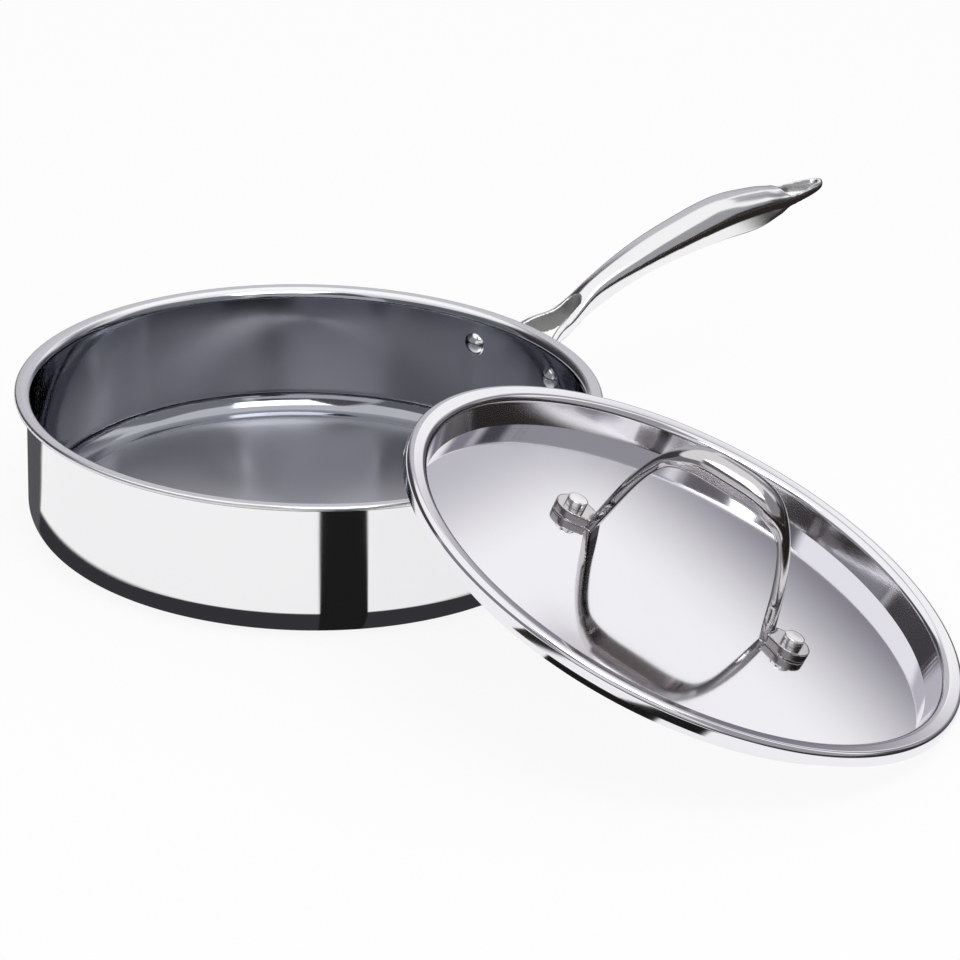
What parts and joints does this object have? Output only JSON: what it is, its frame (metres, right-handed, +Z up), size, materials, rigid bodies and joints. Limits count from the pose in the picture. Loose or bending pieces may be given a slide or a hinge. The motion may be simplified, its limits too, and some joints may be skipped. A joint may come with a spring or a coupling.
{
  "type": "saute pan with lid",
  "caption": "Straight-sided clad steel saute pan with a long forked riveted handle, and a dished steel lid with an arched riveted handle that leans on the pan's rim.",
  "frame": {"origin": "centre of the underside of the pan's base, on the surface that it stands on", "axes": "+Z up through the mouth of the pan, +X from the pan's centre along its long handle, so the lid leans on the rim on the -Y side"},
  "size_m": [0.467, 0.4838, 0.1079],
  "materials": {
    "pan_inside": "fine circular brushing on the floor, satin wall",
    "pan_core": "plain, sealed between the steel layers",
    "pan_outside": "mirror polished",
    "cast_handle": "polished, with as-cast inner faces of the fork and the eye",
    "rivets": "polished, with domed heads in the pan and flat bevelled ones on the lid",
    "lid_sheet": "mirror polished",
    "lid_handle": "polished"
  },
  "bodies": {
    "pan": {"pan_liner": "pan_inside", "pan_core": "pan_core", "pan_skin": "pan_outside", "pan_handle": "cast_handle", "pan_rivet_left": "rivets", "pan_rivet_right": "rivets"},
    "lid": {"lid_shell": "lid_sheet", "lid_handle": "lid_handle", "lid_rivet_left": "rivets", "lid_rivet_right": "rivets"}
  },
  "joints": [
    {"name": "lid_lift", "type": "slide", "parent": "pan", "child": "lid", "axis": [0, 0, 1], "range_m": [0, 0.25]}
  ]
}
